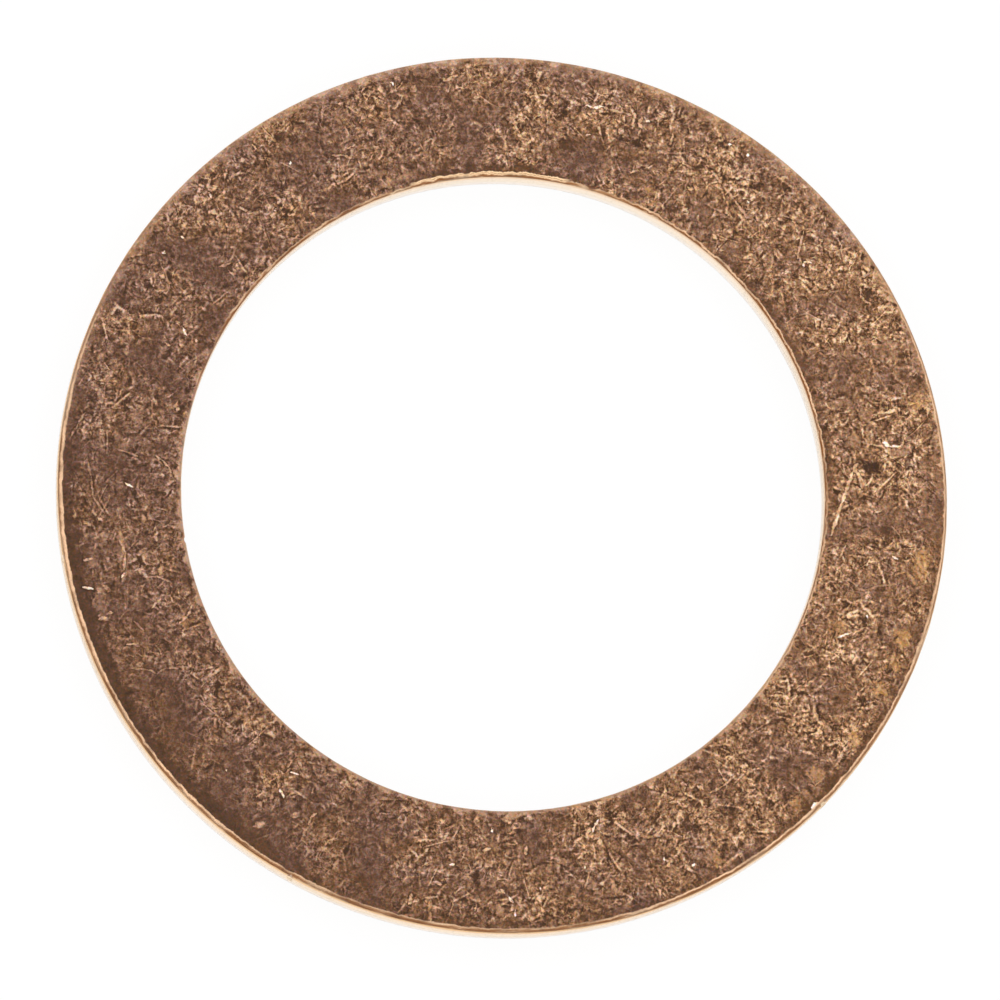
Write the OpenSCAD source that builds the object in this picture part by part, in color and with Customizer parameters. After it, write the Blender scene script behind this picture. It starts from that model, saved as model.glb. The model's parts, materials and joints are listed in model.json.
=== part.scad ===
// Sealing washer for an oil drain plug: one flat ring punched from soft copper sheet.
// It lies with its rolled side up, as both cut edges were drawn down by the same stroke.
// The origin is on the ring's axis at the underside, and +Z is up.

/* [Ring] */
// Diameter of the hole, which drops over an M16 plug
bore_d = 16; // [12:0.1:30]
// Width of the ring, from the hole to the outer edge
ring_w = 3.1; // [1.8:0.05:6]
// Thickness of the copper sheet
sheet_t = 1; // [0.8:0.05:2.5]

/* [Punched edges] */
// Width of the die roll along the outer edge, where the face was drawn down
outer_roll_w = 0.5; // [0.2:0.01:0.7]
// Width of the die roll along the hole
hole_roll_w = 0.4; // [0.2:0.01:0.7]
// Tilt in degrees that a die roll reaches before it turns the corner
roll_tilt = 14; // [6:1:20]
// Radius of the corner between a die roll and the cut wall
corner_r = 0.15; // [0.05:0.01:0.18]
// Height of the burnished land, the straight part of a cut wall
land_h = 0.35; // [0.15:0.01:0.4]
// How far the broken part of a wall leans back from its land
break_lean = 0.03; // [0:0.005:0.06]
// Radius that tumbling left on the underside's edges
foot_r = 0.05; // [0.02:0.01:0.1]

/* [Nicks] */
// How far down the wall a nick reaches from the face
nick_h = 0.45; // [0.25:0.01:0.6]
// Length of a nick along the rim
nick_len = 0.18; // [0.12:0.01:0.4]
// Depth of a shallow nick into the wall
nick_depth = 0.05; // [0.03:0.005:0.1]
// Depth of the one deep nick in the outer rim
deep_nick_depth = 0.12; // [0.06:0.005:0.15]

/* [Hidden] */

bore_r = bore_d / 2;
outer_r = bore_r + ring_w;

// Directions of the nicks in degrees, counted from +X towards +Y
outer_nick_at = [189, 241];
deep_nick_at = 315.5;
hole_nick_at = 189;

roll_steps = 8;
corner_steps = 6;
foot_steps = 4;
cut_over = 0.2; // how far a cutter stands clear of the metal it leaves
round_fn = 180;

// An edge is drawn from its wall at 0 into the ring, with the underside at 0.
// The die roll is an arc that leaves the face level and reaches its full tilt at the corner.
function roll_run(roll_w) = roll_w - corner_r * (1 - sin(roll_tilt));
function roll_r(roll_w) = roll_run(roll_w) / sin(roll_tilt);
function roll_drop(roll_w) = roll_r(roll_w) * (1 - cos(roll_tilt));
function corner_z(roll_w) = sheet_t - roll_drop(roll_w) - corner_r * cos(roll_tilt);

function foot_points() = [
    for (i = [0 : foot_steps])
        let (a = 90 * i / foot_steps)
            [break_lean + foot_r * (1 - sin(a)), foot_r * (1 - cos(a))]
];

function corner_points(roll_w) = [
    for (i = [0 : corner_steps])
        let (a = (90 - roll_tilt) * i / corner_steps)
            [corner_r * (1 - cos(a)), corner_z(roll_w) + corner_r * sin(a)]
];

function roll_points(roll_w) = [
    for (i = [1 : roll_steps])
        let (a = roll_tilt * (1 - i / roll_steps))
            [roll_w - roll_r(roll_w) * sin(a), sheet_t - roll_r(roll_w) * (1 - cos(a))]
];

// From the underside up the broken wall and the land, round the corner and over the roll
function edge_points(roll_w) = concat(
    foot_points(),
    [[0, corner_z(roll_w) - land_h]],
    corner_points(roll_w),
    roll_points(roll_w)
);

function reversed(list) = [for (i = [len(list) - 1 : -1 : 0]) list[i]];

module ring_section() {
    hole_edge = [for (p = edge_points(hole_roll_w)) [bore_r + p[0], p[1]]];
    outer_edge = [for (p = edge_points(outer_roll_w)) [outer_r - p[0], p[1]]];
    polygon(concat(hole_edge, reversed(outer_edge)));
}

// A round dent in a rim; side is 1 on the outer edge and -1 on the hole
module nick(angle, rim_r, side, depth) {
    cut_r = (pow(nick_len / 2, 2) + pow(depth, 2)) / (2 * depth);
    rotate([0, 0, angle])
        translate([rim_r + side * (cut_r - depth), 0, sheet_t - nick_h])
            cylinder(r = cut_r, h = nick_h + cut_over, $fn = 48);
}

module washer() {
    color("peru") difference() {
        rotate_extrude($fn = round_fn) ring_section();
        for (a = outer_nick_at) nick(a, outer_r, 1, nick_depth);
        nick(deep_nick_at, outer_r, 1, deep_nick_depth);
        nick(hole_nick_at, bore_r, -1, nick_depth);
    }
}

washer();
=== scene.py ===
# Copper sealing washer for a drain plug, lying rolled side up on a white table
import json
import math

import bpy
import numpy as np
from mathutils import Matrix, Vector, noise


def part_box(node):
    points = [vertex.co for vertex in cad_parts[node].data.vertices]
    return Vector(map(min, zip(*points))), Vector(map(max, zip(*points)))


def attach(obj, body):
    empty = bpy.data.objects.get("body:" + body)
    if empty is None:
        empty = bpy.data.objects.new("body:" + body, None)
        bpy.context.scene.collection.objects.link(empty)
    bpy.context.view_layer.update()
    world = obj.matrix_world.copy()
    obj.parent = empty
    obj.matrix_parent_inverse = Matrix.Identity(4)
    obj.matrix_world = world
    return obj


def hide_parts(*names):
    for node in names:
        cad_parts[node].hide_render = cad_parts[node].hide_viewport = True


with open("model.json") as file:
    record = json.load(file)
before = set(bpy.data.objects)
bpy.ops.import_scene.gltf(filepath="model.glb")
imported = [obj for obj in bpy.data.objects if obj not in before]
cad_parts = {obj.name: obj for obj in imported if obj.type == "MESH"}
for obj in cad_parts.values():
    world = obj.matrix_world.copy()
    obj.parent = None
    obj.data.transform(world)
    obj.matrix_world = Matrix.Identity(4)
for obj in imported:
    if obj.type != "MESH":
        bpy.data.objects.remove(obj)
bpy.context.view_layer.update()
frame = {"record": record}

mm = 0.001
low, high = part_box("washer")
outerR = (high.x - low.x) / 2 / mm
sheetT = (high.z - low.z) / mm
boreR = next(m for m in frame["record"]["mounts"] if m["name"] == "bore")["dims"]["r_mm"]
print("frame: outside radius", round(outerR, 3), "bore radius", boreR, "thickness", round(sheetT, 3))


def linearColour(hexText, alpha=1.0):
    # sRGB hex to the linear values that the sockets take
    channels = [int(hexText[i:i + 2], 16) / 255 for i in (1, 3, 5)]
    return [c / 12.92 if c <= 0.04045 else ((c + 0.055) / 1.055) ** 2.4 for c in channels] + [alpha]


def inUse(sockets, name=None):
    # The first socket in use, or the first of a name. A Mix node hides those of other kinds of data.
    return next(s for s in sockets if s.enabled and name in (None, s.name))


def addNode(tree, kind, inputs=(), **settings):
    # Adds one node, sets it up, and fills its inputs, by name or in order, with values and links.
    # A node that is given as a value is linked from its first output.
    node = tree.nodes.new(kind if kind.startswith("Node") else "ShaderNode" + kind)
    for name, value in settings.items():
        setattr(node, name, value)
    named = isinstance(inputs, dict)
    for name, value in inputs.items() if named else enumerate(inputs):
        socket = inUse(node.inputs, name) if named else node.inputs[name]
        if isinstance(value, bpy.types.Node):
            value = inUse(value.outputs)
        if isinstance(value, bpy.types.NodeSocket):
            tree.links.new(value, socket)
        else:
            socket.default_value = value
    return node


def setRamp(node, stops, interpolation="LINEAR"):
    # Stops are (position, linear colour)
    ramp = node.color_ramp
    ramp.interpolation = interpolation
    while len(ramp.elements) < len(stops):
        ramp.elements.new(1.0)
    for element, (position, colour) in zip(ramp.elements, stops):
        element.position = position
        element.color = colour


# Camera: a long lens close to straight above, leaning a little to the lower left
photoView = {
    "tilt": 12.55,           # degrees from straight above
    "towards": 244.6,        # the side it leans to, in degrees from +X
    "distance": 400.0,       # mm; from here the lens gives almost no perspective
    "frameWidth": 24.80,     # mm across the picture at the ring
    "ringAside": (0.095, 0.195),  # mm from the picture's middle to the ring's axis
    "film": 36.0,            # mm across the camera's film
    "clip": (0.01, 5.0),     # m from the camera, where the picture begins and ends
}


def makeCamera(settings):
    camera = bpy.data.objects.new("camera", bpy.data.cameras.new("camera"))
    bpy.context.scene.collection.objects.link(camera)
    camera.data.sensor_width = settings["film"]
    camera.data.lens = camera.data.sensor_width * settings["distance"] / settings["frameWidth"]
    lean = math.radians(settings["towards"])
    tiltAxis = Vector((-math.sin(lean), math.cos(lean), 0))
    turn = Matrix.Rotation(math.radians(settings["tilt"]), 4, tiltAxis)
    right, up = settings["ringAside"]
    offset = Vector((-right, -up, settings["distance"]))
    camera.matrix_world = turn @ Matrix.Translation(offset * mm)
    camera.location += Vector((0, 0, sheetT * mm))
    camera.data.clip_start, camera.data.clip_end = settings["clip"]
    bpy.context.scene.camera = camera


makeCamera(photoView)
bpy.context.scene.view_settings.view_transform = "Standard"
print("camera made")


# Light: a soft tent round the table, open and darker above where the camera looks in
tent = {
    "brightest": 2.0,        # the strength that white in its colours stands for
    # Each height is the sine of the angle above the table, and at strength 1 a white looks white
    "glow": [(-0.1, 1.0),    # from the table
             (0.0, 0.45),    # a dark band at the horizon
             (0.2, 0.45),
             (0.45, 1.5),    # the tent's sides
             (0.77, 1.5),
             (0.92, 1.15),
             (1.0, 0.85)],   # its opening
}


def makeTent(settings):
    world = bpy.data.worlds.new("lightTent")
    bpy.context.scene.world = world
    world.use_nodes = True
    tree = world.node_tree
    tree.nodes.clear()
    full = settings["brightest"]
    direction = addNode(tree, "TexCoord").outputs["Generated"]
    upward = addNode(tree, "SeparateXYZ", [direction]).outputs["Z"]
    height = addNode(tree, "MapRange", {"Value": upward, "From Min": -1.0, "From Max": 1.0})
    ramp = addNode(tree, "ValToRGB", {"Fac": height})
    setRamp(ramp, [((z + 1) / 2, [strength / full] * 3 + [1]) for z, strength in settings["glow"]],
            "EASE")
    glow = addNode(tree, "Background", {"Color": ramp, "Strength": full})
    addNode(tree, "OutputWorld", {"Surface": glow})


makeTent(tent)


# Floor: matt white paper
floorLook = {
    "radius": 600.0,         # mm
    "sides": 96,
    "gap": 0.02,             # mm under the ring, so that the two faces don't share a plane
    "paper": "#f2f2f2",
    "backLit": 0.9,          # share of the white that comes from light through the paper
}


def makeFloor(settings):
    sides = settings["sides"]
    rim = [(math.cos(a), math.sin(a)) for a in np.linspace(0, 2 * math.pi, sides, endpoint=False)]
    mesh = bpy.data.meshes.new("floor")
    scale, z = settings["radius"] * mm, -settings["gap"] * mm
    mesh.from_pydata([(x * scale, y * scale, z) for x, y in rim], [], [list(range(sides))])
    floor = bpy.data.objects.new("floor", mesh)
    bpy.context.scene.collection.objects.link(floor)
    material = bpy.data.materials.new("backLitPaper")
    material.use_nodes = True
    tree = material.node_tree
    tree.nodes.clear()
    path = addNode(tree, "LightPath")
    seen = addNode(tree, "Math", [path.outputs["Is Camera Ray"], path.outputs["Is Glossy Ray"]],
                   operation="MAXIMUM")
    seen = addNode(tree, "Math", [seen, path.outputs["Is Transmission Ray"]], operation="MAXIMUM")
    share = addNode(tree, "Math", [seen, settings["backLit"]], operation="MULTIPLY")
    paper = addNode(tree, "BsdfDiffuse", {"Color": linearColour(settings["paper"])})
    white = addNode(tree, "Emission", {"Strength": 1.0})
    front = addNode(tree, "MixShader", [share, paper, white])
    # Seen from below the paper lets the view through to the ring's underside
    side = addNode(tree, "NewGeometry")
    clear = addNode(tree, "BsdfTransparent")
    both = addNode(tree, "MixShader", [side.outputs["Backfacing"], front, clear])
    addNode(tree, "OutputMaterial", {"Surface": both})
    mesh.materials.append(material)


makeFloor(floorLook)
print("light tent and floor made")


# Ring: the punched section swept round, with dents and torn edges
ringShape = {
    "outerRoll": 0.5,        # mm, as the solid's die rolls and corners
    "holeRoll": 0.4,
    "rollTilt": 14.0,        # degrees
    "corner": 0.15,          # mm
    "land": 0.35,
    "breakLean": 0.03,
    "foot": 0.05,
    "nickHeight": 0.45,
    "nickLength": 0.18,
    "outerNicks": {189.0: 0.05, 241.0: 0.05, 315.5: 0.12},   # degrees from +X, and depths
    "holeNicks": {189.0: 0.05},
    "around": 900,           # faces round the ring
    "acrossNick": 14,        # points over each nick
    "nickMargin": 1.1,       # of the nick's length that they cover
    "steps": {"foot": 3, "break": 4, "land": 3, "corner": 7, "roll": 8},  # up each edge
    "faceStep": 0.06,        # mm between rows on the rolled face
    "underStep": 0.2,        # mm between rows on the underside
    "waveHeight": 0.004,     # mm; slow unevenness that the punch left
    "waves": [(0.45, 1.0, 1.3), (1.6, 0.4, 7.9)],   # noises: a scale per mm, a share and a seed
    "dentDepth": 0.004,      # mm; shallow dents from tumbling
    "dentSize": 0.45,        # mm from one to the next
    "dentRim": 0.5,          # radius of a dent's rim, in that size
    "dentSeeds": (3.7, 3.1),
    "underAside": 50.0,      # mm; the underside has other waves and dents than the face
    "reliefFrom": (0.02, 0.32),  # mm from a wall where waves and dents begin and are full
    "edgeWander": 0.012,     # mm that the corner's line strays
    "edgeWaves": [(30, 1.0, 0.5), (90, 0.5, 2.5)],  # as the waves, with a scale per radius
}


def edgeProfile(shape, rollWidth):
    # (inward, up) from the underside, up the wall and over the die roll, as in the solid
    tilt = math.radians(shape["rollTilt"])
    corner, foot, lean, steps = (shape[n] for n in ("corner", "foot", "breakLean", "steps"))
    rollR = (rollWidth - corner * (1 - math.sin(tilt))) / math.sin(tilt)
    cornerZ = sheetT - rollR * (1 - math.cos(tilt)) - corner * math.cos(tilt)
    points = [(lean + foot * (1 - math.sin(a)), foot * (1 - math.cos(a)))
              for a in np.linspace(0, math.pi / 2, steps["foot"] + 1)]
    landZ = cornerZ - shape["land"]
    points += [(lean * (1 - s), foot + (landZ - foot) * s)
               for s in np.linspace(0, 1, steps["break"] + 1)[1:]]
    points += [(0, landZ + shape["land"] * s) for s in np.linspace(0, 1, steps["land"] + 1)[1:-1]]
    points += [(corner * (1 - math.cos(a)), cornerZ + corner * math.sin(a))
               for a in np.linspace(0, math.pi / 2 - tilt, steps["corner"] + 1)]
    points += [(rollWidth - rollR * math.sin(a), sheetT - rollR * (1 - math.cos(a)))
               for a in np.linspace(tilt, 0, steps["roll"] + 1)[1:]]
    return points


def ringRows(shape):
    # (radius, height) round the section: up the hole, out over the face, down and back under
    hole = [(boreR + i, z) for i, z in edgeProfile(shape, shape["holeRoll"])]
    outer = [(outerR - i, z) for i, z in edgeProfile(shape, shape["outerRoll"])][::-1]
    faceFrom, faceTo = hole[-1][0], outer[0][0]
    underFrom, underTo = outer[-1][0], hole[0][0]
    faceRows = round((faceTo - faceFrom) / shape["faceStep"])
    underRows = round((underFrom - underTo) / shape["underStep"])
    face = [(r, sheetT) for r in np.linspace(faceFrom, faceTo, faceRows + 1)[1:-1]]
    under = [(r, 0.0) for r in np.linspace(underFrom, underTo, underRows + 1)[1:-1]]
    return np.array(hole + face + outer + under)


def wavesAt(waves, x, y, aside=0.0):
    # Noises heaped on each other
    return sum(share * noise.noise(Vector((x * scale + aside, y * scale, seed)))
               for scale, share, seed in waves)


def dentsAt(shape, x, y):
    # Round-bottomed dents scattered at random, each a little different
    size = shape["dentSize"]
    placeSeed, depthSeed = shape["dentSeeds"]
    distances, places = noise.voronoi(Vector((x / size, y / size, placeSeed)))
    depth = 0.5 + 0.5 * noise.noise(places[0] * depthSeed)
    return max(0.0, 1 - (distances[0] / shape["dentRim"]) ** 2) * depth


def reliefAt(shape, x, y, z):
    # Height in mm of the tumbled surface above the punched one
    aside = 0.0 if z > sheetT / 2 else shape["underAside"]
    waves = wavesAt(shape["waves"], x, y, aside)
    return shape["waveHeight"] * waves - shape["dentDepth"] * dentsAt(shape, x + aside, y)


def biteAt(angle, nicks, rimR, length):
    # How far a round dent has pushed the rim in at this angle
    deepest = 0.0
    for nick, depth in nicks.items():
        radius = ((length / 2) ** 2 + depth ** 2) / (2 * depth)
        off = math.radians((angle - nick + 180) % 360 - 180) * rimR
        if abs(off) < length / 2:
            deepest = max(deepest, math.sqrt(radius ** 2 - off ** 2) - (radius - depth))
    return deepest


def anglesRound(shape):
    # Even steps round the ring, with finer ones over each nick
    angles = set(np.linspace(0, 360, shape["around"], endpoint=False))
    for nicks, rimR in ((shape["outerNicks"], outerR), (shape["holeNicks"], boreR)):
        reach = math.degrees(shape["nickLength"] / 2 / rimR) * shape["nickMargin"]
        for nick in nicks:
            angles = {a for a in angles if abs(a - nick) > reach}
            angles |= set(np.linspace(nick - reach, nick + reach, shape["acrossNick"]))
    return sorted(angles)


def ringPoint(shape, r, z, c, s, bites, wander):
    # Where a point of the section lies at one angle, in metres
    up = 0.0
    fromWall = min(r - boreR, outerR - r)
    reliefFrom, reliefFull = shape["reliefFrom"]
    if fromWall > reliefFrom:
        fade = min(1.0, (fromWall - reliefFrom) / (reliefFull - reliefFrom))
        relief = reliefAt(shape, r * c, r * s, z) * fade
        up = relief if z > sheetT / 2 else max(0.0, -relief)
    elif z > sheetT / 2:
        # The corner's line strays inward only, so the ring keeps its size
        inward = shape["edgeWander"] * (0.5 + 0.5 * wander)
        r += inward if r < (boreR + outerR) / 2 else -inward
    if z > sheetT - shape["nickHeight"]:
        r = min(max(r, boreR + bites["hole"]), outerR - bites["outer"])
    return r * c * mm, r * s * mm, min(z + up, sheetT) * mm


def makeRing(shape):
    rows = ringRows(shape)
    rowCount = len(rows)
    angles = anglesRound(shape)
    points = []
    for angle in angles:
        c, s = math.cos(math.radians(angle)), math.sin(math.radians(angle))
        bites = {"outer": biteAt(angle, shape["outerNicks"], outerR, shape["nickLength"]),
                 "hole": biteAt(angle, shape["holeNicks"], boreR, shape["nickLength"])}
        wander = wavesAt(shape["edgeWaves"], c, s)
        points += [ringPoint(shape, r, z, c, s, bites, wander) for r, z in rows]
    faces = []
    for i in range(len(angles)):
        here, there = i * rowCount, (i + 1) % len(angles) * rowCount
        for j in range(rowCount):
            k = (j + 1) % rowCount
            faces.append((here + j, here + k, there + k, there + j))
    mesh = bpy.data.meshes.new("copperRing")
    mesh.from_pydata(points, [], faces)
    mesh.polygons.foreach_set("use_smooth", [True] * len(mesh.polygons))
    mesh.update()
    ring = bpy.data.objects.new("copperRing", mesh)
    bpy.context.scene.collection.objects.link(ring)
    print("ring:", len(points), "points,", 2 * len(faces), "triangles,", rowCount, "rows")
    return ring


ring = makeRing(ringShape)


# Copper: soft sheet, oxidised brown and then tumbled. The skin is dull and dark, and every
# scratch through it shows lighter metal. The cut walls are bare and painted pale, a painted
# reflection of the white table, and the rims carry painted shade and painted highlights.
copperLook = {
    # From the skin's deepest brown to metal scratched bright, where it is pink and where golden
    "pinkTones": [(0.00, "#4b372b"), (0.07, "#594133"), (0.18, "#67493b"), (0.34, "#856453"),
                  (0.52, "#a8826d"), (0.68, "#c6a08a"), (0.84, "#e0bba3"), (0.94, "#f5dac6"),
                  (1.00, "#fff6ec")],
    "goldTones": [(0.00, "#4b3629"), (0.07, "#59402e"), (0.18, "#684933"), (0.34, "#8a644a"),
                  (0.52, "#ac8261"), (0.68, "#cb9f79"), (0.84, "#e5ba90"), (0.94, "#f8d9b2"),
                  (1.00, "#fff4e0")],
    # Tones are places along those colours, and a gain is what a pattern adds to them
    "base": 0.31,            # the skin where nothing touched it
    "grainGain": 0.40,
    "grainOverMarks": 0.06,  # what of the grain also shows in the marks that stand out
    "patchGain": 0.065,
    "hit": (0.44, 1.50),     # how strong the marks are where the tumbling hit least and most
    "hitBySide": (0.86, 1.16),   # and away from the pale side and on it
    "rollClear": (0.04, 0.11),   # mm from a wall where the marks begin and are full
    "paleSide": 15.0,        # degrees from +X; the side that is paler
    "paleGain": 0.055,
    "goldSide": -5.0,        # the side that is more golden
    "goldGain": 0.33,
    "tinge": (0.95, 0.0, 1.35),  # how far a grain's red and blue stray from its neighbours'
    "brightest": 0.84,       # tone of the brightest scratch that is spread at random
    "dimming": 0.25,         # how far below it the scratches start to be held back
    "tear": 0.7,             # mm that the edge of a rim's zone strays
    "underAside": (40.0, 17.0, 0.0),  # mm; the underside has other marks than the face
    "roughness": (0.50, 0.32),   # of the deepest brown and of the brightest scratch
    "reliefHeight": 0.012,   # mm; the grain's pits
    # The corner's drawn metal, its brown lines of painted shade where the corner turns away, and
    # the bright lines of painted highlight on it, which stand also for rubbing
    "lip": [(0.36, "#97663f"), (0.50, "#c4946c"), (0.64, "#f2d2ae")],
    "brownLine": "#8c5c3c",
    "redBrownLine": "#8a5228",
    "rubbedLine": "#f8cda6",
    "tornLine": "#ffdaae",
    # The bare wall at heights in mm, which mirrors the white table: painted paler than copper, a
    # painted reflection of the table, and golden at the top, a painted highlight
    "wall": [(0.0, "#fff0de"), (0.28, "#fde1c8"), (0.51, "#ffe3bf"), (0.68, "#ffddb2"),
             (0.84, "#f7cb98")],
    "holeWall": "#fffaf0",   # the hole's wall mirrors itself too, and is painted whiter for it, a painted reflection
    "holeWallShare": 0.3,
    "wallRoughness": 0.12,
    # It leans in below the land, so it reaches deeper from one height, in mm, to the other
    "wallHeights": (0.75, 0.60),
    "wallDepths": (0.035, 0.10),
    "wallEdge": 0.02,        # mm over which it ends
}

# Noises in the copper, with sizes in mm at their coarsest. A noise that has a span is stretched
# so that the span gives the two values beside it, and a held one stays between them.
patterns = {
    # The oxide's pitted grain
    "grain": {"size": 0.22, "detail": 5.0, "roughness": 0.85,
              "span": (0.25, 0.75), "gives": (-1.0, 1.0)},
    # Where the tumbling hit more and less
    "hit": {"size": 1.3, "detail": 3.0, "roughness": 0.5,
            "span": (0.30, 0.70), "gives": (-1.0, 1.0)},
    # Patches of pink and golden oxide
    "tint": {"size": 1.25, "detail": 6.0, "roughness": 0.78,
             "span": (0.36, 0.60), "gives": (0.0, 1.0)},
    # Torn edges of the rims' zones and lines
    "tear": {"size": 1 / 3, "detail": 4.0, "roughness": 0.65,
             "span": (0.0, 1.0), "gives": (-0.5, 0.5)},
    # Where the rims' lines are fuller and fainter
    "streak": {"size": 0.625, "detail": 4.0, "roughness": 0.6,
               "span": (0.3, 0.6), "gives": (0.35, 1.0), "held": True},
    # Grains that turn a mark aside, and grains that differ in colour
    "stray": {"size": 0.125, "detail": 3.0, "roughness": 0.65},
    "tinge": {"size": 0.0625, "detail": 2.0, "roughness": 0.5},
    # The drawn metal's lines, which are as deep in mm and as long in radii of the ring
    "drawn": {"size": 1 / 13, "detail": 3.0, "roughness": 0.6, "dimensions": "3D"},
}


def newGroup(name, vectors, numbers, results):
    # A node group with its sockets
    group = bpy.data.node_groups.new(name, "ShaderNodeTree")
    for names, way, kind in ((vectors, "INPUT", "NodeSocketVector"),
                             (numbers, "INPUT", "NodeSocketFloat"),
                             (results, "OUTPUT", "NodeSocketFloat")):
        for socket in names:
            group.interface.new_socket(socket, in_out=way, socket_type=kind)
    return group


# A scratch's section: its line and the shade beside it are gone at the first distance from
# their middle, in half widths, and full at the second
strokeForm = {
    "line": (1.2, 0.3),
    "shade": (1.5, 0.3),
    "shadeAt": 1.9,          # half widths to one side
    "halfWidths": (0.55, 0.25),  # of the width: what chance adds, and the thinnest
    "fullTo": 0.5,           # of its reach; from there on it fades
    "turnedAside": (0.035, 0.024, 0.0),  # cells, by marks that are there already
    "shift": (17.3, 11.9),   # cells from one layer's pattern to the next
}


def makeStrokeGroup(form):
    # One layer of short curved scratches, one to a cell, each turned and bent its own way
    group = newGroup("tumbleScratches", ("Place", "Cells", "Shift"),
                     ("Reach", "Width", "Bend", "Share", "Shade", "Gain", "Heap"), ("Heap",))
    given = addNode(group, "NodeGroupInput").outputs
    spread = addNode(group, "VectorMath", [given["Place"], given["Cells"], given["Shift"]],
                     operation="MULTIPLY_ADD")
    here = addNode(group, "VectorMath", [given["Heap"], form["turnedAside"], spread],
                   operation="MULTIPLY_ADD")
    cells = addNode(group, "TexVoronoi", {"Vector": here, "Scale": 1.0}, voronoi_dimensions="2D")
    chance = addNode(group, "SeparateColor", [cells.outputs["Color"]]).outputs
    local = addNode(group, "VectorMath", [here, cells.outputs["Position"]], operation="SUBTRACT")
    angle = addNode(group, "Math", [chance["Red"], 2 * math.pi], operation="MULTIPLY")
    turned = addNode(group, "VectorRotate", {"Vector": local, "Angle": angle},
                     rotation_type="Z_AXIS")
    along = addNode(group, "SeparateXYZ", [turned]).outputs
    squared = addNode(group, "Math", [along["X"], along["X"]], operation="MULTIPLY")
    bend = addNode(group, "Math", [chance["Green"], 0.5], operation="SUBTRACT")
    bend = addNode(group, "Math", [bend, given["Bend"]], operation="MULTIPLY")
    across = addNode(group, "Math", [squared, bend, along["Y"]], operation="MULTIPLY_ADD")
    halfWidth = addNode(group, "Math", [chance["Green"], *form["halfWidths"]],
                        operation="MULTIPLY_ADD")
    halfWidth = addNode(group, "Math", [given["Width"], halfWidth], operation="MULTIPLY")
    across = addNode(group, "Math", [across, halfWidth], operation="DIVIDE")
    off = addNode(group, "Math", [across], operation="ABSOLUTE")
    line = addNode(group, "MapRange", [off, *form["line"]], interpolation_type="SMOOTHSTEP")
    beside = addNode(group, "Math", [across, form["shadeAt"]], operation="SUBTRACT")
    beside = addNode(group, "Math", [beside], operation="ABSOLUTE")
    shade = addNode(group, "MapRange", [beside, *form["shade"], 0.0, given["Shade"]])
    line = addNode(group, "Math", [line, shade], operation="SUBTRACT")
    ends = addNode(group, "Math", [along["X"]], operation="ABSOLUTE")
    full = addNode(group, "Math", [given["Reach"], form["fullTo"]], operation="MULTIPLY")
    ends = addNode(group, "MapRange", [ends, given["Reach"], full])
    # A share of the cells holds a scratch, and most of those are faint
    tone = addNode(group, "MapRange", [chance["Blue"], 0.0, given["Share"], 1.0, 0.0])
    tone = addNode(group, "Math", [tone, ends], operation="MULTIPLY")
    stroke = addNode(group, "Math", [line, tone], operation="MULTIPLY")
    heap = addNode(group, "Math", [stroke, given["Gain"], given["Heap"]], operation="MULTIPLY_ADD")
    addNode(group, "NodeGroupOutput", [heap])
    return group


# Cells, lengths and widths in mm. Strays is how far the grains turn a mark aside, and gain is
# what it adds to the skin's tone. The finest are drawn 0.02 to 0.08 mm wide, coarser than the
# real hairlines, which would be lost in the picture.
tumbleMarks = {
    "hairlines": {"layers": 4, "cell": 0.18, "length": 0.22, "width": 0.048, "bend": 0.8,
                  "share": 1.0, "shade": 0.75, "strays": 0.12, "gain": 0.20},
    "scuffs": {"layers": 3, "cell": 0.40, "length": 0.30, "width": 0.055, "bend": 0.45,
               "share": 0.7, "shade": 0.5, "strays": 0.06, "gain": 0.36},
    "scratches": {"layers": 2, "cell": 0.90, "length": 0.75, "width": 0.045, "bend": 0.3,
                  "share": 0.5, "shade": 0.5, "strays": 0.03, "gain": 0.38},
    "chips": {"layers": 2, "cell": 0.40, "length": 0.12, "width": 0.10, "bend": 0.0,
              "share": 0.5, "shade": 0.3, "strays": 0.18, "gain": 0.40},
    "pits": {"layers": 1, "cell": 0.80, "length": 0.40, "width": 0.20, "bend": 1.0,
             "share": 0.8, "shade": 0.0, "strays": 0.25, "gain": -0.25},
}


def heapStrokes(tree, place, stray, kinds, form):
    # Layer on layer of scratches, each turned a little aside by the grains
    group = makeStrokeGroup(form)
    heap, layer = 0.0, 0
    for kind, marks in kinds.items():
        cell = marks["cell"]
        turned = addNode(tree, "VectorMath", [stray, (marks["strays"], marks["strays"], 0.0),
                         place], operation="MULTIPLY_ADD")
        for _ in range(marks["layers"]):
            layer += 1
            # Reach, width and bend are in cells
            strokes = addNode(tree, "Group", {"Place": turned, "Cells": (1 / cell, 1 / cell, 0.0),
                              "Shift": (*[cells * layer for cells in form["shift"]], 0.0),
                              "Reach": marks["length"] / 2 / cell, "Width": marks["width"] / cell,
                              "Bend": 2 * marks["bend"], "Share": marks["share"],
                              "Shade": marks["shade"], "Gain": marks["gain"], "Heap": heap},
                              node_tree=group, label=kind)
            heap = strokes.outputs["Heap"]
    return heap
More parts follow.
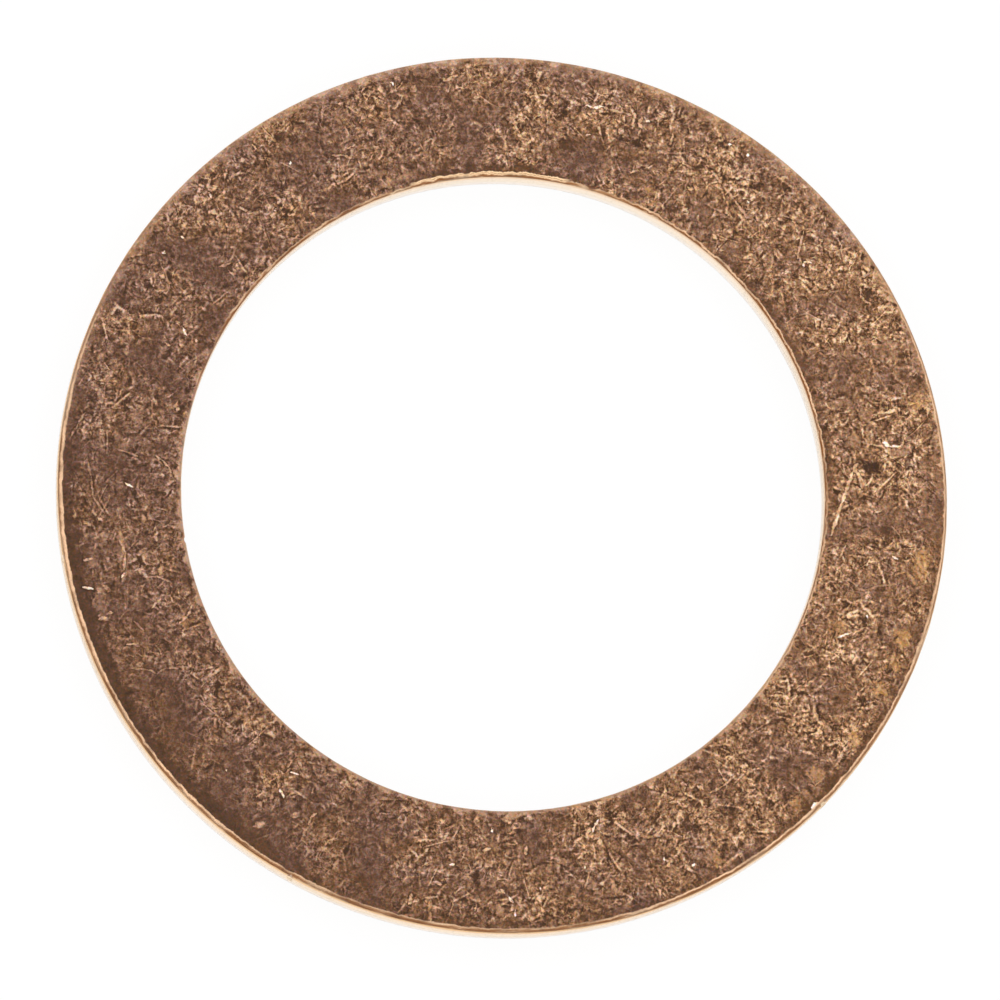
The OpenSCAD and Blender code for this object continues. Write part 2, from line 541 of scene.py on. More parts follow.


# Rims of the rolled face, with painted shade and painted light in their zones and lines. A thing
# lies towards a direction in degrees from +X, and its span is the cosine to that direction at
# which it starts and at which it is full. Distances are in mm from the wall: a zone is gone at
# the first and full at the second.
rimWearAndPaintedLight = {
    "outer": {
        # Dark zones are painted shade on the roll and pale ones painted light; the calm skin is
        # darker and calmer
        "zones": {
            "calm skin": {"towards": 222.0, "span": (0.75, 0.97), "deep": (2.4, 0.5),
                          "tone": 0.19, "share": 0.42},
            "dark skin": {"towards": 205.0, "span": (0.75, 0.92), "deep": (0.60, 0.30),
                          "tone": 0.04, "share": 0.75},
            "dark skin below": {"towards": 285.0, "span": (0.55, 0.85), "deep": (0.40, 0.22),
                                "tone": 0.12, "share": 0.50},
            "shaded right": {"towards": 338.0, "span": (0.80, 0.97), "deep": (0.40, 0.20),
                             "tone": 0.16, "share": 0.45},
            "pale haze": {"towards": 85.0, "span": (-0.1, 0.5), "deep": (0.34, 0.10),
                          "tone": 0.57, "share": 0.70},
            "pale brim": {"towards": 60.0, "span": (-0.4, 0.4), "deep": (0.09, 0.04),
                          "tone": 0.80, "share": 0.8},
        },
        "lip": {"towards": 270.0, "span": (-0.55, 0.1), "wander": 0.10, "wide": 0.12},
        # Brown lines are painted shade where the corner turns away, and bright ones painted
        # highlights, which stand also for rubbing
        "lines": {
            "brown": {"paint": "brownLine", "towards": 280.0, "span": (-0.65, -0.1), "at": 0.055,
                      "width": 0.024, "share": 0.70},
            "brown lower left": {"paint": "brownLine", "towards": 212.0, "span": (0.5, 0.9),
                                 "at": 0.090, "width": 0.014, "share": 0.6},
            "left": {"paint": "rubbedLine", "towards": 180.0, "span": (0.90, 0.98), "at": 0.088,
                     "width": 0.036, "share": 1.0},
            "lower left": {"paint": "rubbedLine", "towards": 202.0, "span": (0.80, 0.93),
                           "at": 0.112, "width": 0.032, "share": 1.1},
            "bottom": {"paint": "rubbedLine", "towards": 250.0, "span": (0.85, 0.95), "at": 0.112,
                       "width": 0.022, "share": 0.60},
            "lower right": {"paint": "rubbedLine", "towards": 314.0, "span": (0.80, 0.90),
                            "at": 0.108, "width": 0.028, "share": 1.0},
            "right": {"paint": "rubbedLine", "towards": 2.0, "span": (0.86, 0.95), "at": 0.078,
                      "width": 0.030, "share": 0.85},
        },
    },
    "hole": {
        # Dark zones are painted shade on the roll, and the pale brim is painted light
        "zones": {
            "dark skin": {"towards": 90.0, "span": (0.955, 0.985), "deep": (0.42, 0.2),
                          "tone": 0.10, "share": 0.75},
            "dark skin right": {"towards": 24.0, "span": (0.80, 0.93), "deep": (0.36, 0.22),
                                "tone": 0.14, "share": 0.6},
            "pale brim": {"towards": 250.0, "span": (-0.5, 0.2), "deep": (0.18, 0.05),
                          "tone": 0.74, "share": 0.75},
        },
        "lip": {"towards": 70.0, "span": (-0.2, 0.5), "wander": 0.15, "wide": 0.10},
        # Brown lines are painted shade where the corner turns away, and bright ones painted
        # highlights, which stand also for rubbing
        "lines": {
            "brown right": {"paint": "redBrownLine", "towards": 22.0, "span": (0.64, 0.75),
                            "at": 0.038, "width": 0.026, "share": 0.9},
            "brown top": {"paint": "redBrownLine", "towards": 118.0, "span": (0.70, 0.80),
                          "at": 0.038, "width": 0.026, "share": 0.8},
            "right": {"paint": "rubbedLine", "towards": 36.0, "span": (0.82, 0.92), "at": 0.084,
                      "width": 0.026, "share": 0.95},
            "lower right": {"paint": "rubbedLine", "towards": 338.0, "span": (0.90, 0.98),
                            "at": 0.075, "width": 0.026, "share": 0.6},
            "torn top": {"paint": "tornLine", "towards": 92.0, "span": (0.968, 0.976),
                         "at": 0.112, "width": 0.042, "share": 1.7},
            "torn crease": {"paint": "redBrownLine", "towards": 92.0, "span": (0.968, 0.976),
                            "at": 0.108, "width": 0.012, "share": 0.7},
            "top left": {"paint": "rubbedLine", "towards": 130.0, "span": (0.92, 0.98),
                         "at": 0.092, "width": 0.024, "share": 0.6},
        },
    },
}


def turnedTo(tree, spoke, degrees, span):
    # 0 to 1 as a place comes round to face a direction
    towards = (math.cos(math.radians(degrees)), math.sin(math.radians(degrees)), 0.0)
    cosine = addNode(tree, "VectorMath", [spoke, towards], operation="DOT_PRODUCT")
    return addNode(tree, "MapRange", [cosine, *span])


def paintShadeAndLightOnRoll(tree, tone, inward, spoke, zones):
    # The die roll is painted darker where a zone lays painted shade on it and paler where a zone
    # lays painted light; a calm zone is only darker and calmer
    for zone in zones.values():
        side = turnedTo(tree, spoke, zone["towards"], zone["span"])
        side = addNode(tree, "Math", [side, zone["share"]], operation="MULTIPLY")
        share = addNode(tree, "MapRange", [inward, *zone["deep"], 0.0, side],
                        interpolation_type="SMOOTHSTEP")
        tone = addNode(tree, "Mix", {"Factor": share, "A": tone, "B": zone["tone"]})
    return tone


# The rims' drawn metal covers least on one side and most on the other
drawnMetal = {
    "cover": (0.15, 0.95),
    "fade": 0.025,           # mm over which it ends
    "lineFull": 0.4,         # of a line's width; it is full that near its middle
}


def drawLipAndPaintLight(tree, colour, inward, spoke, drawn, streak, wearAndLight, look):
    # The corner's drawn metal, with brown lines of painted shade on it and bright lines of painted
    # highlight, which stand also for rubbing
    lip = wearAndLight["lip"]
    side = turnedTo(tree, spoke, lip["towards"], lip["span"])
    cover = addNode(tree, "MapRange", [side, 0.0, 1.0, *drawnMetal["cover"]])
    cover = addNode(tree, "Math", [cover, streak], operation="MULTIPLY")
    share = addNode(tree, "MapRange", [inward, lip["wide"], lip["wide"] - drawnMetal["fade"], 0.0,
                    cover])
    metal = addNode(tree, "ValToRGB", [drawn])
    setRamp(metal, [(p, linearColour(h)) for p, h in look["lip"]])
    colour = addNode(tree, "Mix", {"Factor": share, "A": colour, "B": metal}, data_type="RGBA")
    # Painted shade and highlight lines along the rim, as strong as a direction and a noise let them
    # be
    for line in wearAndLight["lines"].values():
        side = turnedTo(tree, spoke, line["towards"], line["span"])
        side = addNode(tree, "Math", [side, line["share"]], operation="MULTIPLY")
        share = addNode(tree, "Math", [side, streak], operation="MULTIPLY")
        off = addNode(tree, "Math", [inward, line["at"]], operation="SUBTRACT")
        off = addNode(tree, "Math", [off], operation="ABSOLUTE")
        share = addNode(tree, "MapRange", [off, line["width"],
                        line["width"] * drawnMetal["lineFull"], 0.0, share])
        colour = addNode(tree, "Mix", {"Factor": share, "A": colour,
                         "B": linearColour(look[line["paint"]])}, data_type="RGBA")
    return colour


# Marks that stand out on the rolled face, in the order they are laid. Half widths are in mm, a
# share is how much of the skin is hidden, and the points are places in the photo, in pixels from
# its upper left corner.
knownMarks = {
    "calm patches": {"halfWidth": 0.420, "share": 0.60, "tone": 0.20, "tint": 0.3,
        "shade": 0.00, "at": [
        [(424, 122), (446, 140)], [(742, 756), (761, 753)], [(345, 807), (361, 812)]]},
    "charcoal smudge": {"halfWidth": 0.180, "share": 1.50, "tone": 0.00, "tint": 0.1,
        "shade": 0.03, "at": [
        [(863, 465), (873, 473)]]},
    # A dark streak
    "gouge": {"halfWidth": 0.090, "share": 1.40, "tone": 0.00, "tint": 0.5,
        "shade": 0.03, "at": [
        [(620, 139), (628, 142)], [(628, 142), (641, 147)]]},
    "dark dents": {"halfWidth": 0.160, "share": 0.95, "tone": 0.06, "tint": 0.4,
        "shade": 0.02, "at": [
        [(174, 706), (179, 704)], [(402, 76), (414, 79)], [(883, 533), (891, 537)],
        [(560, 142), (572, 148)], [(680, 824), (691, 829)], [(119, 299), (126, 303)],
        [(780, 188), (784, 191)], [(668, 208), (674, 214)], [(866, 295), (870, 300)],
        [(919, 377), (920, 385)], [(276, 137), (281, 141)]]},
    "shade beside a scratch": {"halfWidth": 0.045, "share": 0.90, "tone": 0.10, "tint": 0.5,
        "shade": 0.02, "at": [
        [(887, 444), (900, 446)], [(682, 812), (697, 802)]]},
    "smooth pale patch": {"halfWidth": 0.330, "share": 0.65, "tone": 0.55, "tint": 0.6,
        "shade": 0.00, "at": [
        [(882, 358), (893, 347)]]},
    "pink haze": {"halfWidth": 0.170, "share": 0.50, "tone": 0.60, "tint": 0.4,
        "shade": 0.00, "at": [
        [(98, 528), (102, 552)], [(119, 536), (125, 575)], [(130, 412), (139, 424)],
        [(118, 446), (128, 452)], [(85, 562), (97, 566)], [(96, 592), (106, 622)]]},
    # Twelve of these were found by measuring where the photo's skin is most golden
    "golden patches": {"halfWidth": 0.210, "share": 0.60, "tone": 0.68, "tint": 2.5,
        "shade": 0.00, "at": [
        [(922, 556), (922, 566)], [(905, 636), (900, 652)], [(873, 694), (881, 690)],
        [(851, 736), (852, 747)], [(836, 626), (838, 636)], [(793, 800), (795, 810)],
        [(892, 660), (894, 674)], [(878, 690), (882, 698)], [(898, 634), (900, 646)],
        [(811, 770), (815, 782)], [(918, 556), (920, 584)], [(184, 622), (186, 630)],
        [(646, 192), (650, 196)], [(916, 402), (916, 410)], [(711, 862), (717, 862)]]},
    "soft pale patches": {"halfWidth": 0.150, "share": 0.80, "tone": 0.58, "tint": 0.7,
        "shade": 0.00, "at": [
        [(382, 188), (391, 184)], [(399, 179), (408, 176)], [(847, 445), (857, 443)],
        [(889, 457), (911, 451)], [(383, 842), (389, 842)], [(315, 841), (323, 837)],
        [(706, 860), (714, 856)], [(810, 779), (815, 774)], [(494, 911), (502, 912)],
        [(603, 164), (608, 170)], [(588, 886), (592, 892)], [(332, 121), (340, 118)]]},
    "pale flakes": {"halfWidth": 0.075, "share": 0.95, "tone": 0.70, "tint": 0.5,
        "shade": 0.05, "at": [
        [(97, 591), (104, 597)], [(99, 618), (107, 622)], [(121, 583), (125, 575)],
        [(104, 589), (109, 594)], [(142, 518), (143, 526)], [(290, 818), (299, 816)],
        [(317, 851), (326, 849)], [(577, 881), (582, 885)], [(409, 92), (413, 87)],
        [(136, 667), (142, 667)], [(744, 165), (747, 172)], [(254, 827), (264, 825)],
        [(443, 151), (445, 152)], [(824, 729), (828, 736)]]},
    "golden streaks": {"halfWidth": 0.055, "share": 0.95, "tone": 0.68, "tint": 1.3,
        "shade": 0.06, "at": [
        [(385, 178), (389, 189)], [(119, 533), (122, 546), (124, 560)], [(921, 549), (923, 558)],
        [(912, 562), (919, 580)], [(905, 575), (915, 588)], [(880, 688), (874, 697)],
        [(896, 640), (901, 655)], [(893, 655), (889, 668)], [(848, 749), (854, 738)],
        [(170, 412), (177, 406)], [(74, 513), (74, 521)], [(160, 569), (159, 577)],
        [(880, 690), (885, 697)], [(834, 641), (837, 628)], [(429, 901), (428, 912), (429, 921)],
        [(609, 880), (614, 896)], [(638, 838), (650, 839)], [(914, 555), (922, 576)]]},
    "long scratch": {"halfWidth": 0.050, "share": 1.30, "tone": 0.80, "tint": 0.9,
        "shade": 0.10, "at": [
        [(856, 466), (852, 474), (841, 505), (830, 538)]]},
    # Painted highlights along the long scratch
    "bright stretches of it": {"halfWidth": 0.045, "share": 1.40, "tone": 0.94, "tint": 0.9,
        "shade": 0.00, "at": [
        [(851, 475), (850, 480)], [(844, 497), (841, 506)], [(837, 518), (835, 525)]]},
    "fine scratches": {"halfWidth": 0.032, "share": 0.95, "tone": 0.64, "tint": 0.4,
        "shade": 0.06, "at": [
        [(134, 624), (143, 633)], [(130, 646), (139, 649)], [(91, 524), (97, 541)],
        [(595, 127), (609, 117)], [(853, 592), (865, 593), (876, 589), (887, 588)],
        [(160, 269), (164, 277), (168, 292)], [(688, 180), (684, 189), (681, 202)],
        [(899, 588), (893, 601)], [(86, 460), (90, 480), (92, 500), (104, 517)],
        [(84, 415), (77, 427), (69, 441)], [(859, 281), (873, 273)],
        [(115, 452), (125, 455), (137, 460)],
        [(132, 671), (147, 672), (157, 676), (165, 671), (190, 669)], [(513, 900), (522, 910)],
        [(891, 529), (898, 538), (901, 547)]]},
    "bright scratches": {"halfWidth": 0.036, "share": 1.10, "tone": 0.76, "tint": 0.6,
        "shade": 0.10, "at": [
        [(711, 172), (722, 186), (733, 200), (746, 219)], [(803, 233), (797, 260)],
        [(834, 254), (853, 248)], [(861, 289), (860, 297), (864, 303), (870, 306)],
        [(708, 795), (720, 789), (733, 778)], [(731, 787), (741, 776)], [(343, 107), (354, 114)],
        [(330, 157), (341, 157), (350, 161)], [(601, 107), (608, 110), (620, 113), (631, 116)],
        [(838, 561), (844, 548)], [(154, 459), (161, 463), (167, 470), (170, 476)],
        [(315, 815), (310, 819), (308, 826)], [(265, 791), (261, 795), (256, 799)],
        [(588, 872), (585, 881), (583, 889)], [(151, 611), (160, 601)], [(126, 647), (138, 646)],
        [(842, 467), (844, 477)], [(858, 480), (861, 492)], [(424, 898), (436, 898)],
        [(191, 608), (187, 619), (179, 626)], [(119, 543), (125, 556), (123, 572)],
        [(643, 810), (638, 818)], [(217, 269), (229, 266)], [(640, 130), (637, 136)]]},
    "golden flakes": {"halfWidth": 0.046, "share": 1.20, "tone": 0.82, "tint": 0.8,
        "shade": 0.12, "at": [
        [(410, 895), (408, 905)], [(408, 904), (417, 901)], [(633, 120), (631, 129)],
        [(641, 118), (638, 124), (641, 129)], [(672, 136), (669, 146)], [(517, 135), (519, 138)],
        [(503, 142), (504, 151)], [(441, 79), (444, 82), (450, 78), (456, 75)],
        [(193, 343), (196, 344)], [(164, 346), (168, 348)], [(697, 217), (697, 222)],
        [(712, 236), (716, 240)], [(687, 189), (692, 191)], [(695, 788), (701, 792)],
        [(524, 849), (524, 856)], [(481, 852), (488, 850)], [(576, 860), (583, 854)],
        [(174, 412), (178, 413)], [(780, 179), (787, 179)]]},
    "pink flakes": {"halfWidth": 0.048, "share": 1.10, "tone": 0.80, "tint": 0.3,
        "shade": 0.10, "at": [
        [(835, 459), (839, 463)], [(99, 622), (106, 620)], [(107, 616), (112, 615)],
        [(83, 563), (92, 562)], [(433, 883), (440, 886)], [(679, 785), (684, 788)],
        [(238, 210), (245, 213)], [(411, 853), (418, 859)], [(97, 521), (103, 523)],
        [(613, 903), (618, 905)], [(693, 849), (702, 849)]]},
    "white specks": {"halfWidth": 0.038, "share": 1.40, "tone": 0.96, "tint": 0.3,
        "shade": 0.12, "at": [
        [(889, 449), (900, 449)], [(836, 640), (849, 636)], [(585, 106), (592, 109), (601, 107)],
        [(585, 136), (589, 136)], [(206, 195), (209, 200)], [(181, 330), (185, 338)],
        [(891, 559), (896, 562)], [(803, 269), (804, 264), (811, 264)], [(448, 866), (453, 866)],
        [(499, 891), (503, 894)], [(507, 898), (511, 904)], [(513, 911), (513, 918)],
        [(290, 774), (297, 776)], [(279, 791), (283, 799)], [(124, 486), (132, 490)],
        [(596, 822), (592, 828), (590, 835)], [(121, 580), (124, 576)], [(82, 590), (93, 592)],
        [(646, 121), (648, 123)], [(179, 239), (182, 240)]]},
    "white dots": {"halfWidth": 0.062, "share": 1.80, "tone": 1.02, "tint": 0.3,
        "shade": 0.12, "at": [
        [(747, 156), (748, 156)], [(747, 203), (748, 203)], [(729, 145), (729, 146)],
        [(389, 84), (390, 84)], [(865, 620), (866, 620)], [(162, 255), (162, 256)],
        [(287, 165), (288, 165)], [(273, 212), (273, 213)], [(662, 861), (663, 861)],
        [(691, 867), (692, 867)], [(489, 832), (491, 832)], [(538, 890), (539, 890)],
        [(582, 869), (583, 869)], [(225, 772), (226, 772)]]},
    "white chip's head": {"halfWidth": 0.052, "share": 2.00, "tone": 1.10, "tint": 0.3,
        "shade": 0.10, "at": [
        [(883, 445), (889, 449)]]},
    # Painted reflection: the nicks' bare metal painted white for the white table it mirrors
    "bright bits at the rim": {"halfWidth": 0.055, "share": 2.00, "tone": 1.10, "tint": 0.3,
        "shade": 0.08, "at": [
        [(809, 810), (818, 804)], [(820, 806), (822, 803)], [(291, 877), (292, 875)]]},
}

# The outline of the ring's face in the photo, an ellipse, as the ring is tilted there
photoFace = {
    "middle": (501.97, 495.16),  # pixels from the upper left corner
    "halfAxes": (446.7, 436.25),  # pixels, the longer and the shorter
    "turned": 25.4,          # degrees clockwise from level to the longer axis
    "radius": 11.08,         # mm, of that outline on the ring
}

# A colour ramp round the ring holds one layer of marks
markRamp = {
    "steps": 255,            # that Cycles cuts a ramp into
    "marks": 31,             # at most, as a ramp takes 32 stops
    "seam": 278.5,           # degrees from +X where the ramps begin, clear of any mark
    "clear": 1.6,            # half widths that a mark keeps from its neighbours along the ramp
    "lift": 12.0,            # mm added to a place, as a colour can't be below zero
}

# A mark's section: its cover and the shade beside it are gone at the first distance from its
# middle, in half widths, and full at the second
markForm = {
    "cover": (1.1, 0.5),
    "shade": (2.2, 1.3),
    "taper": 2.0,            # a quarter of it, in half widths, is lost at each end
    "fray": 2.5,             # how far the grains turn its edge aside, in half widths
    "mottle": (-0.2, 0.2, 0.3, 1.15),    # a span of the grains, and the two shares it gives
}


def onRing(pixel):
    # A place in the photo as mm from the ring's axis, to a hundredth
    turn = math.radians(photoFace["turned"])
    c, s = math.cos(turn), math.sin(turn)
    right, down = (p - m for p, m in zip(pixel, photoFace["middle"]))
    alongLong, alongShort = (photoFace["radius"] / half for half in photoFace["halfAxes"])
    u, v = (right * c + down * s) * alongLong, (down * c - right * s) * alongShort
    return round(u * c - v * s, 2), round(-(u * s + v * c), 2)


def layMarks(kinds):
    # Marks that face different ways share a layer, and one that crosses another lies over it
    layers, laid = [], []
    for kind in kinds.values():
        for pixels in kind["at"]:
            line = [onRing(pixel) for pixel in pixels]
            for start, end in zip(line, line[1:]):
                turns = [(math.degrees(math.atan2(y, x)) - markRamp["seam"]) / 360 % 1.0
                         for x, y in (start, end)]
                margin = markRamp["clear"] * kind["halfWidth"] / (boreR * 2 * math.pi)
                first = math.floor((min(turns) - margin) * markRamp["steps"])
                last = math.floor((max(turns) + margin) * markRamp["steps"])
                middle = ((start[0] + end[0]) / 2, (start[1] + end[1]) / 2)
                reach = math.dist(start, end) / 2 + kind["halfWidth"]
                under = [n for n, other, place, far in laid
                         if other is not line and math.dist(middle, place) < reach + far]
                number = max(under, default=-1) + 1
                while number < len(layers) and (len(layers[number]) == markRamp["marks"] or any(
                        first <= m["last"] and last >= m["first"] for m in layers[number])):
                    number += 1
                if number == len(layers):
                    layers.append([])
                layers[number].append({"first": first, "last": last, "start": start, "end": end,
                                       "kind": kind})
                laid.append((number, line, middle, reach))
    return [sorted(layer, key=lambda m: m["first"]) for layer in layers]


# Cycles has little memory for a shader. A trace of what came before, too small to show, makes
# it work the layers out one after another.
traceOfSkin = 1e-6


def makeMarkGroup(form):
    # One layer of marks, laid over the skin before it takes its colour
    group = newGroup("knownMarks", ("Place", "Aside", "Start", "End", "Look"),
                     ("Half Width", "Share", "Mottle", "Tone", "Tint", "Turn"),
                     ("Tone", "Tint", "Turn"))
    given = addNode(group, "NodeGroupInput").outputs
    frayed = addNode(group, "VectorMath", [given["Aside"], given["Half Width"], given["Place"]],
                     operation="MULTIPLY_ADD")
    local = addNode(group, "VectorMath", [frayed, given["Start"]], operation="SUBTRACT")
    run = addNode(group, "VectorMath", [given["End"], given["Start"]], operation="SUBTRACT")
    reach = addNode(group, "VectorMath", [run, run], operation="DOT_PRODUCT")
    along = addNode(group, "VectorMath", [local, run], operation="DOT_PRODUCT")
    along = addNode(group, "Math", [along, reach], operation="DIVIDE", use_clamp=True)
    nearest = addNode(group, "VectorMath", {"Vector": run, "Scale": along}, operation="SCALE")
    away = addNode(group, "VectorMath", [local, nearest], operation="DISTANCE")
    away = addNode(group, "Math", [away, given["Half Width"]], operation="DIVIDE")
    # A mark is thinner towards its ends
    taper = addNode(group, "Math", [along, 0.5], operation="SUBTRACT")
    taper = addNode(group, "Math", [taper, taper], operation="MULTIPLY")
    away = addNode(group, "Math", [taper, form["taper"], away], operation="MULTIPLY_ADD")
    look = addNode(group, "SeparateXYZ", [given["Look"]]).outputs
    shade = addNode(group, "MapRange", [away, *form["shade"], 0.0, look["Z"]])
    tone = addNode(group, "Math", [given["Tone"], shade], operation="SUBTRACT")
    share = addNode(group, "Math", [given["Share"], given["Mottle"]], operation="MULTIPLY")
    share = addNode(group, "MapRange", [away, *form["cover"], 0.0, share],
                    interpolation_type="SMOOTHSTEP")
    turn = addNode(group, "Math", [share, traceOfSkin, given["Turn"]], operation="MULTIPLY_ADD")
    tone = addNode(group, "Mix", {"Factor": share, "A": tone, "B": look["X"]})
    tint = addNode(group, "Mix", {"Factor": share, "A": given["Tint"], "B": look["Y"]})
    addNode(group, "NodeGroupOutput", [tone, tint, turn])
    return group


def addKnownMarks(tree, tone, tint, stray, where):
    turn = addNode(tree, "Math", [where["axes"]["Y"], where["axes"]["X"]], operation="ARCTAN2")
    turn = addNode(tree, "Math", [turn, 1 / (2 * math.pi), 1 - markRamp["seam"] / 360],
                   operation="MULTIPLY_ADD")
    turn = addNode(tree, "Math", [turn], operation="FRACT")
    turn = addNode(tree, "Math", [tone, traceOfSkin, turn], operation="MULTIPLY_ADD")
    lift = markRamp["lift"]
    lifted = addNode(tree, "VectorMath", [where["place"], (lift, lift, 0.0)], operation="ADD")
    fray = markForm["fray"]
    aside = addNode(tree, "VectorMath", [stray, (fray, fray, 0.0)], operation="MULTIPLY")
    mottle = addNode(tree, "SeparateXYZ", [stray]).outputs["Z"]
    mottle = addNode(tree, "MapRange", [mottle, *markForm["mottle"]])
    group = makeMarkGroup(markForm)
    layers = layMarks(knownMarks)
    for layer in layers:
        stops = {"Start": [], "End": [], "Look": []}
        for mark in layer:
            at = (mark["first"] - 0.5) / markRamp["steps"] if stops["Start"] else 0.0
            kind = mark["kind"]
            (x, y), (endX, endY) = mark["start"], mark["end"]
            stops["Start"].append((at, (x + lift, y + lift, 0.0, kind["halfWidth"])))
            stops["End"].append((at, (endX + lift, endY + lift, 0.0, kind["share"])))
            stops["Look"].append((at, (kind["tone"], kind["tint"], kind["shade"], 1.0)))
        ramps = {}
        for name in stops:
            ramps[name] = addNode(tree, "ValToRGB", [turn])
            setRamp(ramps[name], stops[name], "CONSTANT")
        marks = addNode(tree, "Group", {**ramps, "Place": lifted, "Aside": aside,
                        "Half Width": ramps["Start"].outputs["Alpha"],
                        "Share": ramps["End"].outputs["Alpha"], "Mottle": mottle, "Tone": tone,
                        "Tint": tint, "Turn": turn}, node_tree=group, label="known marks")
        tone, tint, turn = (marks.outputs[name] for name in ("Tone", "Tint", "Turn"))
    print("known marks:", sum(len(layer) for layer in layers), "stretches in", len(layers), "layers")
    return tone, tint


def addPattern(tree, place, name):
    # A noise of a real size, stretched to the values that are wanted
    pattern = patterns[name]
    grains = addNode(tree, "TexNoise", {"Vector": place, "Scale": 1 / pattern["size"],
                     "Detail": pattern["detail"], "Roughness": pattern["roughness"]},
                     noise_dimensions=pattern.get("dimensions", "2D"))
    if "span" not in pattern:
        return grains
    return addNode(tree, "MapRange", [grains, *pattern["span"], *pattern["gives"]],
                   clamp="held" in pattern)


def measureRing(tree, look):
    # Places on the ring in mm, the way they face from the axis, and their distances from the
    # outer wall, the hole's wall and the nearest of the two
    inMetres = addNode(tree, "TexCoord").outputs["Object"]
    solid = addNode(tree, "VectorMath", {"Vector": inMetres, "Scale": 1 / mm}, operation="SCALE")
    axes = addNode(tree, "SeparateXYZ", [solid]).outputs
    flat = addNode(tree, "VectorMath", [solid, (1.0, 1.0, 0.0)], operation="MULTIPLY")
    radius = addNode(tree, "VectorMath", [flat], operation="LENGTH")
    spoke = addNode(tree, "VectorMath", [flat], operation="NORMALIZE")
    under = addNode(tree, "Math", [axes["Z"], sheetT / 2], operation="LESS_THAN")
    apart = addNode(tree, "VectorMath", {"Vector": look["underAside"], "Scale": under},
                    operation="SCALE")
    place = addNode(tree, "VectorMath", [flat, apart], operation="ADD")
    fromOuter = addNode(tree, "Math", [outerR, radius], operation="SUBTRACT")
    fromHole = addNode(tree, "Math", [radius, boreR], operation="SUBTRACT")
    fromWall = addNode(tree, "Math", [fromOuter, fromHole], operation="MINIMUM")
    return {"axes": axes, "place": place, "radius": radius, "spoke": spoke, "outer": fromOuter,
            "hole": fromHole, "nearest": fromWall}


def toneSkin(tree, where, heap, look):
    # How light the skin is, from its grain and scratches, which are stronger where the tumbling
    # hit. The grain is given back too, as the relief follows it.
    worn = addPattern(tree, where["place"], "hit")
    roll = addNode(tree, "MapRange", [where["nearest"], *look["rollClear"]],
                   interpolation_type="SMOOTHSTEP")
    hit = addNode(tree, "MapRange", [worn, -1.0, 1.0, *look["hit"]])
    hit = addNode(tree, "Math", [hit, roll], operation="MULTIPLY")
    side = turnedTo(tree, where["spoke"], look["paleSide"], (-1.0, 1.0))
    more = addNode(tree, "MapRange", [side, 0.0, 1.0, *look["hitBySide"]])
    hit = addNode(tree, "Math", [hit, more], operation="MULTIPLY")
    grain = addPattern(tree, where["place"], "grain")
    tone = addNode(tree, "Math", [grain, look["grainGain"], heap], operation="MULTIPLY_ADD")
    tone = addNode(tree, "Math", [tone, hit, look["base"]], operation="MULTIPLY_ADD")
    tone = addNode(tree, "Math", [worn, look["patchGain"], tone], operation="MULTIPLY_ADD")
    tone = addNode(tree, "Math", [tone, look["brightest"], look["dimming"]], operation="SMOOTH_MIN")
    pale = addNode(tree, "MapRange", [side, 0.0, 1.0, -look["paleGain"], look["paleGain"]])
    return addNode(tree, "Math", [tone, pale], operation="ADD"), grain


def tintSkin(tree, where, look):
    # The skin's tint, from pink at 0 to golden at 1
    tint = addPattern(tree, where["place"], "tint")
    golden = turnedTo(tree, where["spoke"], look["goldSide"], (-1.0, 1.0))
    golden = addNode(tree, "MapRange", [golden, 0.0, 1.0, -look["goldGain"], look["goldGain"]])
    return addNode(tree, "Math", [tint, golden], operation="ADD", use_clamp=True)


def colourSkin(tree, tone, tint, where, look):
    # The oxide's own colours at each tone, pink and golden
    metals = {}
    for name in ("pinkTones", "goldTones"):
        metals[name] = addNode(tree, "ValToRGB", [tone])
        setRamp(metals[name], [(p, linearColour(h)) for p, h in look[name]])
    # A tint above 1 is more golden still
    colour = addNode(tree, "Mix", {"Factor": tint, "A": metals["pinkTones"],
                     "B": metals["goldTones"]}, data_type="RGBA", clamp_factor=False)
    # The oxide on each grain is a little redder, greener or bluer than on the next
    tinge = addPattern(tree, where["place"], "tinge").outputs["Color"]
    tinge = addNode(tree, "VectorMath", [tinge, (0.5, 0.5, 0.5)], operation="SUBTRACT")
    tinge = addNode(tree, "VectorMath", [tinge, look["tinge"], (1.0, 1.0, 1.0)],
                    operation="MULTIPLY_ADD")
    return addNode(tree, "VectorMath", [colour, tinge], operation="MULTIPLY")


def drawRimsAndPaintLight(tree, colour, tear, where, look):
    # The punch drew the corner's metal out in lines along the rim, and painted shade and highlights
    # lie along it
    streak = addPattern(tree, where["place"], "streak")
    across = addNode(tree, "CombineXYZ", {"Z": where["nearest"]})
    drawn = addNode(tree, "VectorMath", [where["spoke"], across], operation="ADD")
    drawn = addPattern(tree, drawn, "drawn")
    for name, wearAndLight in rimWearAndPaintedLight.items():
        inward = addNode(tree, "Math", [tear, wearAndLight["lip"]["wander"], where[name]],
                         operation="MULTIPLY_ADD")
        colour = drawLipAndPaintLight(tree, colour, inward, where["spoke"], drawn, streak, wearAndLight, look)
    return colour


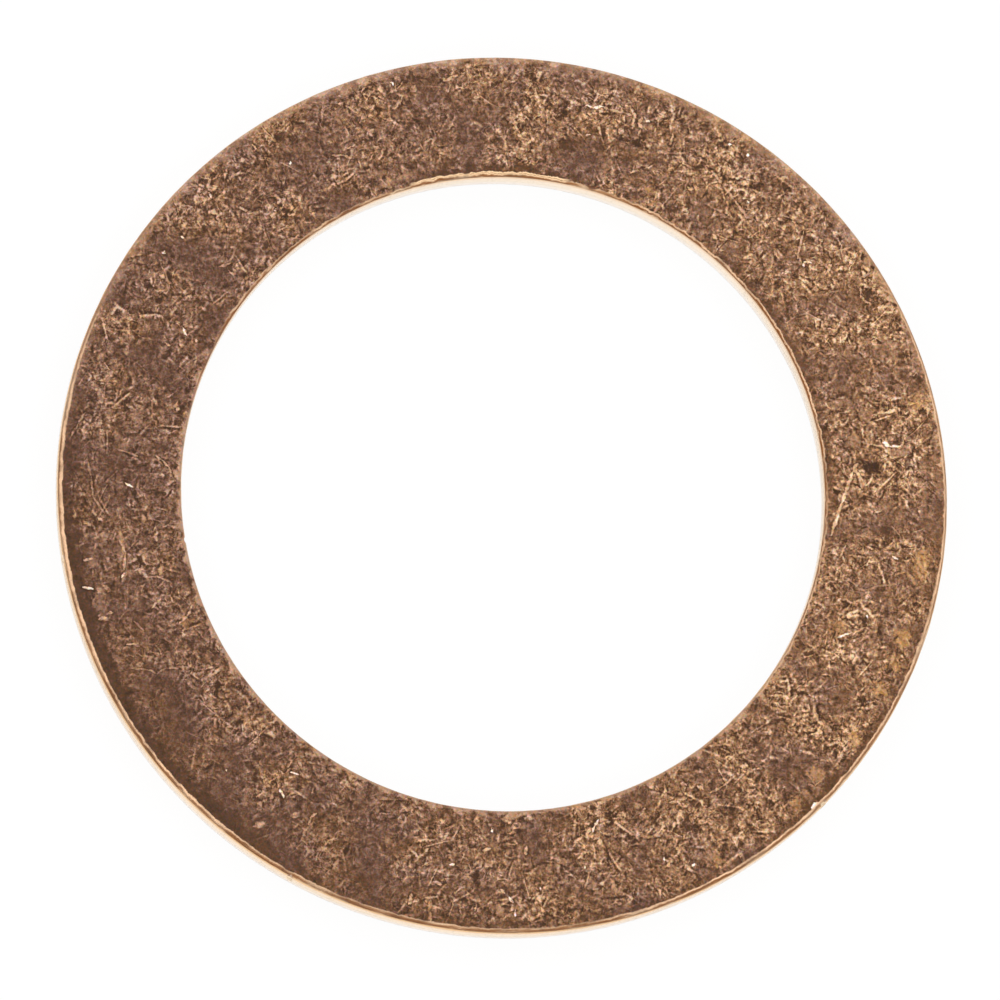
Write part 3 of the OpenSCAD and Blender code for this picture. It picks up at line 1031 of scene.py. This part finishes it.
def bareWall(tree, where, look):
    # How far the cut has bared a place, and the colour there, painted pale as a painted reflection
    # of the white table
    height = where["axes"]["Z"]
    depth = addNode(tree, "MapRange", [height, *look["wallHeights"], *look["wallDepths"]])
    cut = addNode(tree, "Math", [depth, where["nearest"]], operation="SUBTRACT")
    cut = addNode(tree, "MapRange", [cut, 0.0, look["wallEdge"]])
    wall = addNode(tree, "ValToRGB", [height])
    setRamp(wall, [(p, linearColour(h)) for p, h in look["wall"]])
    inHole = addNode(tree, "Math", [where["radius"], (boreR + outerR) / 2], operation="LESS_THAN")
    inHole = addNode(tree, "Math", [inHole, look["holeWallShare"]], operation="MULTIPLY")
    wall = addNode(tree, "Mix", {"Factor": inHole, "A": wall, "B": linearColour(look["holeWall"])},
                   data_type="RGBA")
    return cut, wall


def makeCopper(look):
    material = bpy.data.materials.new("tumbledOxidisedCopper")
    material.use_nodes = True
    tree = material.node_tree
    tree.nodes.clear()
    where = measureRing(tree, look)
    stray = addPattern(tree, where["place"], "stray").outputs["Color"]
    stray = addNode(tree, "VectorMath", [stray, (0.5, 0.5, 0.5)], operation="SUBTRACT")
    heap = heapStrokes(tree, where["place"], stray, tumbleMarks, strokeForm)
    tone, grain = toneSkin(tree, where, heap, look)

    # The rims' zones have torn edges
    tear = addPattern(tree, where["place"], "tear")
    for name, wearAndLight in rimWearAndPaintedLight.items():
        inward = addNode(tree, "Math", [tear, look["tear"], where[name]], operation="MULTIPLY_ADD")
        tone = paintShadeAndLightOnRoll(tree, tone, inward, where["spoke"], wearAndLight["zones"])

    tint = tintSkin(tree, where, look)
    tone, tint = addKnownMarks(tree, tone, tint, stray, where)
    tone = addNode(tree, "Math", [grain, look["grainOverMarks"], tone], operation="MULTIPLY_ADD")
    colour = colourSkin(tree, tone, tint, where, look)
    colour = drawRimsAndPaintLight(tree, colour, tear, where, look)
    cut, wall = bareWall(tree, where, look)
    colour = addNode(tree, "Mix", {"Factor": cut, "A": colour, "B": wall}, data_type="RGBA")
    rough = addNode(tree, "MapRange", [tone, 0.0, 1.0, *look["roughness"]])
    rough = addNode(tree, "Mix", {"Factor": cut, "A": rough, "B": look["wallRoughness"]})
    relief = addNode(tree, "Bump", {"Height": grain, "Distance": look["reliefHeight"] * mm})
    metal = addNode(tree, "BsdfPrincipled", {"Base Color": colour, "Metallic": 1.0,
                    "Roughness": rough, "Normal": relief})
    addNode(tree, "OutputMaterial", {"Surface": metal})
    return material


ring.data.materials.append(makeCopper(copperLook))
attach(ring, "root")
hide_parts("washer")
print("copper made")
